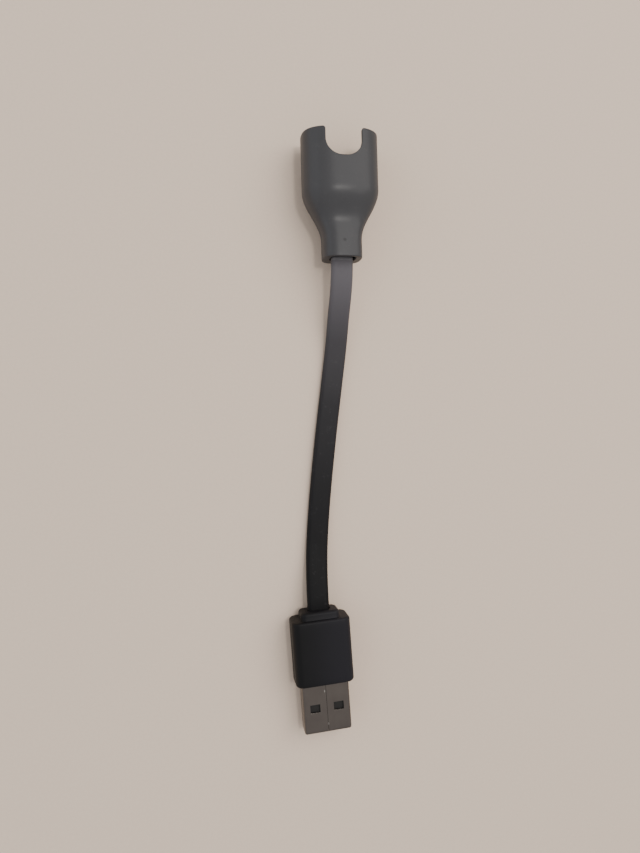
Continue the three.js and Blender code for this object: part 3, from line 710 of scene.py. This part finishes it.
for name, side in (("left", -1), ("right", 1)):
    x = side * PIN_X
    barrel = turned(f"pin_sleeve_{name}", [
        (0.29, -5.8), (0.35, -5.74), (0.35, -3.9), (1.14, -3.9), (1.2, -3.84), (1.2, -3.15),
        (0.9, -3.15), (0.9, -0.36), (0.84, -0.3), (0.64, -0.3), (0.58, -0.36), (0.58, -0.6),
        (0.70, -0.6), (0.70, -3.4),
    ], x)
    nose = [
        (NOSE_RADIUS * math.cos(math.radians(a)), NOSE_HEIGHT + NOSE_RADIUS * math.sin(math.radians(a)))
        for a in range(0, 86, 9)
    ]
    plunger = turned(f"pin_tip_{name}", [
        (0.58, -1.08), (0.62, -1.04), (0.62, -0.72), (0.58, -0.68), (NOSE_RADIUS, -0.68),
    ] + nose, x)
    path = []
    for i in range(SPRING_STEPS + 1):
        a = 2 * math.pi * SPRING_TURNS * i / SPRING_STEPS
        height = mixed(SPRING_TOP, SPRING_FOOT, i / SPRING_STEPS)
        path.append(Vector((x + SPRING_RADIUS * math.cos(a), SEAT_Y + height,
                            AXIS_HEIGHT + SPRING_RADIUS * math.sin(a))))
    coil_rings = []
    for i, point in enumerate(path):
        ahead = (path[min(i + 1, SPRING_STEPS)] - path[max(i - 1, 0)]).normalized()
        outward = (point - Vector((x, point.y, AXIS_HEIGHT))).normalized()
        third = ahead.cross(outward)
        coil_rings.append([
            point + SPRING_WIRE_RADIUS * (math.cos(b) * outward + math.sin(b) * third)
            for b in (math.pi * k / 5 for k in range(10))
        ])
    coil = drawn_through(f"pin_coil_{name}", coil_rings)
    gold.on(barrel)
    gold.on(plunger)
    spring_steel.on(coil)
    for piece, body, node, slot in (
        (barrel, "lead", f"pin_barrel_{name}", "gold_plate"),
        (plunger, f"{name}_pin", f"pin_plunger_{name}", "gold_plate"),
        (coil, "lead", f"pin_spring_{name}", "spring_steel"),
    ):
        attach(piece, body)
        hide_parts(node)
    spring_foot = (x * mm, (SEAT_Y + SPRING_FOOT - SPRING_WIRE_RADIUS) * mm, AXIS_HEIGHT * mm)
    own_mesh(coil)

# ---------------------------------------------------------------- board, solder, cores and filling
# Hidden in the neck and the plug: a green board that the pins are soldered to, two insulated cores, and
# hard filling round the cable's ends. They keep their plain shapes.

board_green = Finish("green_board", IOR=1.5, Coat_Weight=0.3, Coat_Roughness=0.2)
place = board_green.place()
weave = board_green.noise(place, 2500.0, 2.0)
board_green.feed("Base Color", board_green.blend(weave, color(0.012, 0.07, 0.033), color(0.025, 0.12, 0.055)))
board_green.feed("Roughness", 0.35 + weave * 0.2)
board_green.bumps((weave, 0.01))

tin = Finish("solder", Metallic=1.0)
place = tin.place()
frost = tin.noise(place, 4500.0, 4.0, 0.65)
tin.feed("Base Color", tin.blend(frost, color(0.48, 0.49, 0.50), color(0.66, 0.67, 0.68)))
tin.feed("Roughness", 0.22 + frost * 0.25)
tin.bumps((frost, 0.012))

hard_filling = Finish("hard_filling", IOR=1.49)
place = hard_filling.place()
flow = hard_filling.noise(place, 700.0, 3.0)
tone = hard_filling.blend(flow, color(0.022, 0.022, 0.023), color(0.038, 0.037, 0.039))
hard_filling.feed("Base Color", tone)
hard_filling.feed("Roughness", 0.5 + flow * 0.2)
hard_filling.bumps((flow, 0.02))


def core_insulation(name, dark, light):
    made = Finish(name, IOR=1.5)
    streak = made.noise(made.place(), 1800.0, 3.0)
    made.feed("Base Color", made.blend(streak, dark, light))
    made.feed("Roughness", 0.35 + streak * 0.2)
    made.bumps((streak, 0.008))
    return made


red_core = core_insulation("red_insulation", color(0.30, 0.022, 0.016), color(0.42, 0.04, 0.03))
black_core = core_insulation("black_insulation", color(0.010, 0.010, 0.011), color(0.022, 0.022, 0.024))

board_green.on(nodes["pin_board"])
for name in ("board_solder_left", "board_solder_right", "plug_solder_power", "plug_solder_ground"):
    tin.on(nodes[name])
for name in ("neck_filling", "plug_inner_mould"):
    hard_filling.on(nodes[name])
red_core.on(nodes["positive_core"])
black_core.on(nodes["ground_core"])

# ---------------------------------------------------------------- plug moulding
# Handle of the plug, moulded over the shell and the cable in near-black PVC. A smaller collar steps
# out of its back round the cable, and all its ends are rounded over.

PLUG_ENTRY = (-8.05, -103)  # where the cable meets the collar
PLUG_TURN = 0.047
PLUG_HEIGHT = 4.0
plug_place = Matrix.Translation((*PLUG_ENTRY, 0)) @ Matrix.Rotation(PLUG_TURN, 4, "Z")
MOULD_COLUMNS = 128
COLLAR = (9.9, 6.0, 1.4)  # width, height and corner, as for the rings below
BODY = (14.8, 8.0, 2.0)
CABLE_HOLE = (5.84, 2.24, 1.1)
CABLE_HOLE_MOUTH = (6.1, 2.5, 1.2)
SHELL_HOLE = (12.08, 4.58, 0.64)
SHELL_HOLE_MOUTH = (12.3, 4.8, 0.75)
MOULD_HOLLOW = (12.6, 5.8, 1.0)  # for the hard filling
MOULD_HOLLOW_Y = (-3.5, -11.3)
COLLAR_FOOT_Y = -1.9
BODY_FRONT_Y = -18.2
COLLAR_ROUNDING = 0.75
BACK_ROUNDING = 0.6
FRONT_ROUNDING = 0.8


def mould_ring(width, height, corner, y, inset=0.0):
    ring = rounded_ring(width - 2 * inset, height - 2 * inset, max(0.1, corner - inset), y, 0.0,
                        MOULD_COLUMNS, PLUG_HEIGHT)
    return [plug_place @ point for point in ring]


# Out by the cable's hole, over the collar and down its side, which flares a little at its foot.
rings = [mould_ring(*CABLE_HOLE, MOULD_HOLLOW_Y[0]), mould_ring(*CABLE_HOLE, -0.1)]
rings += [mould_ring(*CABLE_HOLE_MOUTH, 0.0)]
for turn in (0, 18, 36, 54, 72, 90):
    turn, r = math.radians(turn), COLLAR_ROUNDING
    rings.append(mould_ring(*COLLAR, -r * (1 - math.cos(turn)), r * (1 - math.sin(turn))))
for y, inset in ((-1.7, 0.0), (-1.84, -0.06), (COLLAR_FOOT_Y, -0.2)):
    rings.append(mould_ring(*COLLAR, y, inset))
# Over the body from its back to its front.
for turn in (0, 15, 30, 45, 60, 75, 90):
    turn, r = math.radians(turn), BACK_ROUNDING
    rings.append(mould_ring(*BODY, COLLAR_FOOT_Y - r * (1 - math.cos(turn)), r * (1 - math.sin(turn))))
for i in range(1, 12):
    y = mixed(COLLAR_FOOT_Y - BACK_ROUNDING, BODY_FRONT_Y + FRONT_ROUNDING, i / 12)
    rings.append(mould_ring(*BODY, y))
for turn in (0, 15, 30, 45, 60, 75, 90):
    turn, r = math.radians(turn), FRONT_ROUNDING
    y = BODY_FRONT_Y + r * (1 - math.sin(turn))
    rings.append(mould_ring(*BODY, y, r * (1 - math.cos(turn))))
# In by the shell's hole and round the hollow.
rings += [mould_ring(*SHELL_HOLE_MOUTH, BODY_FRONT_Y), mould_ring(*SHELL_HOLE, BODY_FRONT_Y + 0.12)]
rings += [mould_ring(*SHELL_HOLE, MOULD_HOLLOW_Y[1])]
rings += [mould_ring(*MOULD_HOLLOW, y) for y in reversed(MOULD_HOLLOW_Y)]
moulding = drawn_through("plug_moulding", rings, joined=True)

plug_pvc = Finish("plug_pvc", IOR=1.5, Specular_IOR_Level=0.2)
place = plug_pvc.place()
spark = plug_pvc.noise(place, 5200.0, 3.0, 0.65)
pool = plug_pvc.noise(place, 220.0, 3.0)
scuff = plug_pvc.soft_step(plug_pvc.noise(place, 640.0, 5.0, 0.75), 0.58, 0.78)
tone = plug_pvc.blend(pool, color(0.0030, 0.0030, 0.0033), color(0.0046, 0.0045, 0.0052))
# Painted light: the moulding's colour grows lighter towards its right side, where the light falls, and stays
# darker on its left, as in shade.
to_right = plug_pvc.node("SeparateXYZ", {}, {0: place}, output="X")
handled_and_lit = plug_pvc.soft_step(to_right, -0.015, -0.002)
tone = plug_pvc.blend(handled_and_lit, tone, color(0.0115, 0.0108, 0.0145))
tone = plug_pvc.blend(scuff * 0.25, tone, color(0.024, 0.024, 0.027))
plug_pvc.feed("Base Color", tone)
plug_pvc.feed("Roughness", 0.52 + pool * 0.08 - scuff * 0.06)
plug_pvc.bumps((pool, 0.03), (spark, 0.014))
plug_pvc.on(moulding)
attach(moulding, "lead")
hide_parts("plug_overmould")

# ---------------------------------------------------------------- plug shell
# Standard flat plug shell, 12.0 by 4.5 mm: 0.3 mm steel strip bent round, with its edges meeting in a seam
# down the middle of one face. It is nickel plated, with two square windows in each face.

SHELL_WIDTH = 12.0
SHELL_HEIGHT = 4.5
SHELL_CORNER = 0.6
SHELL_BACK_Y = -11.6
TIP_Y = -30.4
WINDOW_X = (1.75, 4.25)
WINDOW_Y = (-25.24, -23.24)
SEAM_HALF = 0.02
SHEET = 0.3


def shell_ring(y, inset):
    """Corners at fixed places across each face, so that the windows and the seam fall between them."""
    half, high, corner = SHELL_WIDTH / 2 - inset, SHELL_HEIGHT / 2 - inset, SHELL_CORNER
    across = [5.4, 4.9, WINDOW_X[1], 3.6, 3.0, 2.4, WINDOW_X[0], 1.2, 0.6, SEAM_HALF]
    bend = [(math.cos(math.pi / 12 * k), math.sin(math.pi / 12 * k)) for k in range(7)]
    quarter = [(half, 0.0), (half, 0.8)]
    quarter += [(half - corner + corner * c, high - corner + corner * s) for c, s in bend[:-1]]
    quarter += [(x if k else half - corner, high) for k, x in enumerate(across)]
    top = quarter + [(-x, z) for x, z in quarter[::-1]]
    bottom = [(-x, -z) for x, z in top[1:-1]]
    return [plug_place @ Vector((x, y, PLUG_HEIGHT + z)) for x, z in top + bottom]


stations = [
    (SHELL_BACK_Y, 0.0), (-14.0, 0.0), (-16.4, 0.0), (-18.4, 0.0), (-20.0, 0.0), (-21.6, 0.0),
    (WINDOW_Y[1], 0.0), (-24.24, 0.0), (WINDOW_Y[0], 0.0), (-26.8, 0.0), (-28.4, 0.0), (-29.7, 0.0),
    (-30.1, 0.03), (TIP_Y, 0.09),
]
shell = drawn_through("plug_sleeve", [shell_ring(y, inset) for y, inset in stations])
bpy.ops.object.mode_set(mode="EDIT")
shaping = bmesh.from_edit_mesh(shell.data)
to_plug = plug_place.inverted()
for face in shaping.faces:
    x, y, z = to_plug @ (face.calc_center_median() / mm)
    end = len(face.verts) > 4
    in_window = WINDOW_X[0] < abs(x) < WINDOW_X[1] and WINDOW_Y[0] < y < WINDOW_Y[1]
    window = in_window and abs(z - PLUG_HEIGHT) > 2
    seam = abs(x) < SEAM_HALF and z > PLUG_HEIGHT + 2
    face.select_set(end or window or seam)
bmesh.update_edit_mesh(shell.data)
bpy.ops.mesh.delete(type="FACE")
bpy.ops.object.mode_set(mode="OBJECT")
apply_modifier(shell, "SOLIDIFY", thickness=SHEET * mm, offset=-1.0, use_even_offset=True)
apply_modifier(shell, "BEVEL", width=0.05 * mm, segments=2, limit_method="ANGLE",
               angle_limit=math.radians(50))
flat_shading(shell)

nickel = Finish("nickel_plate", Metallic=1.0)
place = nickel.place()
turned_place = nickel.node(
    "Mapping", {"vector_type": "TEXTURE"},
    {"Vector": place, "Location": tuple(mm * c for c in (*PLUG_ENTRY, PLUG_HEIGHT)),
     "Rotation": (0.0, 0.0, PLUG_TURN)},
)
rolled_place = nickel.node("VectorMath", {"operation": "MULTIPLY"}, {0: turned_place, 1: (1.0, 0.08, 1.0)})
rolled = nickel.noise(rolled_place, 5200.0, 4.0, 0.7)
cloud = nickel.noise(place, 320.0, 3.0)
scratch_place = nickel.node("VectorMath", {"operation": "MULTIPLY"}, {0: turned_place, 1: (1.0, 0.035, 1.0)})
scratches = nickel.soft_step(nickel.noise(scratch_place, 2600.0, 2.0, 0.5), 0.66, 0.70)
stain = nickel.soft_step(nickel.noise(turned_place, 900.0, 5.0, 0.75), 0.6, 0.8)
tone = nickel.blend(cloud, color(0.132, 0.114, 0.103), color(0.168, 0.148, 0.135))
tone = nickel.blend(stain * 0.35, tone, color(0.105, 0.088, 0.077))
# Two small dents beside the seam, where the strip's edges were pressed together; their glints are painted in
# as bright colour.
dents_and_glints = 0.0
for spot in ((-0.00035, -0.0201, 0.00225), (0.00005, -0.0284, 0.00225)):
    off = nickel.node("VectorMath", {"operation": "SUBTRACT"}, {0: turned_place, 1: spot})
    off = nickel.node("VectorMath", {"operation": "MULTIPLY"}, {0: off, 1: (1.0, 0.45, 1.0)})
    far = nickel.node("VectorMath", {"operation": "LENGTH"}, {0: off}, output="Value")
    dents_and_glints = dents_and_glints + (1.0 - nickel.soft_step(far, 0.00007, 0.0002))
tone = nickel.blend(dents_and_glints * 0.6, tone, color(0.55, 0.52, 0.48))
nickel.feed("Base Color", tone)
nickel.feed("Roughness", 0.30 + rolled * 0.12 + stain * 0.14 - scratches * 0.05)
nickel.bumps((rolled, 0.004), (scratches, -0.0015), (dents_and_glints, -0.02))
nickel.on(shell)
nickel.on(nodes["cable_crimp"])
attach(shell, "lead")
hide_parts("plug_shell")

# ---------------------------------------------------------------- plug insulator and contacts
# Black glass-filled plastic: a block in the back of the shell and a tongue along its top, with four
# gold-plated strips lying under the tongue.

glass_filled = Finish("glass_filled_plastic", IOR=1.5, Specular_IOR_Level=0.3)
place = glass_filled.place()
fibre = glass_filled.noise(place, 3600.0, 4.0, 0.7)
tone = glass_filled.blend(fibre, color(0.010, 0.0095, 0.009), color(0.020, 0.0185, 0.0175))
glass_filled.feed("Base Color", tone)
glass_filled.feed("Roughness", 0.40 + fibre * 0.2)
glass_filled.bumps((fibre, 0.008))
glass_filled.on(nodes["plug_insulator"])
contacts = ["contact_ground", "contact_data_plus", "contact_data_minus", "contact_power"]
for name in contacts:
    gold.on(nodes[name])

[tuple(mm * point) for point in cable_line[::5]]

# ---------------------------------------------------------------- floor and light
# Plain pale floor. A large soft lamp stands at the upper right and a small one nearly overhead, which gives
# the two highlights on the cradle. A weak cool lamp from the left and an even room fill the shadows.

bpy.ops.object.select_all(action="DESELECT")
bpy.ops.mesh.primitive_plane_add(size=4)
floor = bpy.context.object
floor.name = "floor"
plain = Finish("pale_floor", Roughness=0.9, Specular_IOR_Level=0.2)
place = plain.place()
nap = plain.noise(place, 1400.0, 2.0)
plain.feed("Base Color", plain.blend(nap, color(0.76, 0.615, 0.50), color(0.82, 0.665, 0.54)))
plain.on(floor)


def area_lamp(name, place, aim, size, watts, tint):
    """A square lamp that shines at the point aim."""
    bpy.ops.object.light_add(type="AREA", location=place)
    lamp = bpy.context.object
    lamp.name = name
    lamp.data.size = size
    lamp.data.energy = watts
    lamp.data.color = tint
    lamp.rotation_euler = (Vector(place) - Vector(aim)).to_track_quat("Z", "Y").to_euler()


area_lamp("key_right", (0.52, 0.36, 0.85), (0, -0.04, 0), 1.0, 8.0, (1.0, 0.965, 0.92))
area_lamp("lamp_overhead", (0.104, 0.042, 0.82), (0, 0, 0), 0.09, 1.3, (1.0, 0.96, 0.91))
area_lamp("window_left", (-0.8, 0.1, 0.32), (0, -0.04, 0), 1.0, 2.4, (0.80, 0.90, 1.0))
world = bpy.data.worlds.new("room")
world.use_nodes = True
world.node_tree.nodes["Background"].inputs["Color"].default_value = (0.95, 0.93, 0.92, 1.0)
world.node_tree.nodes["Background"].inputs["Strength"].default_value = 0.6
bpy.context.scene.world = world
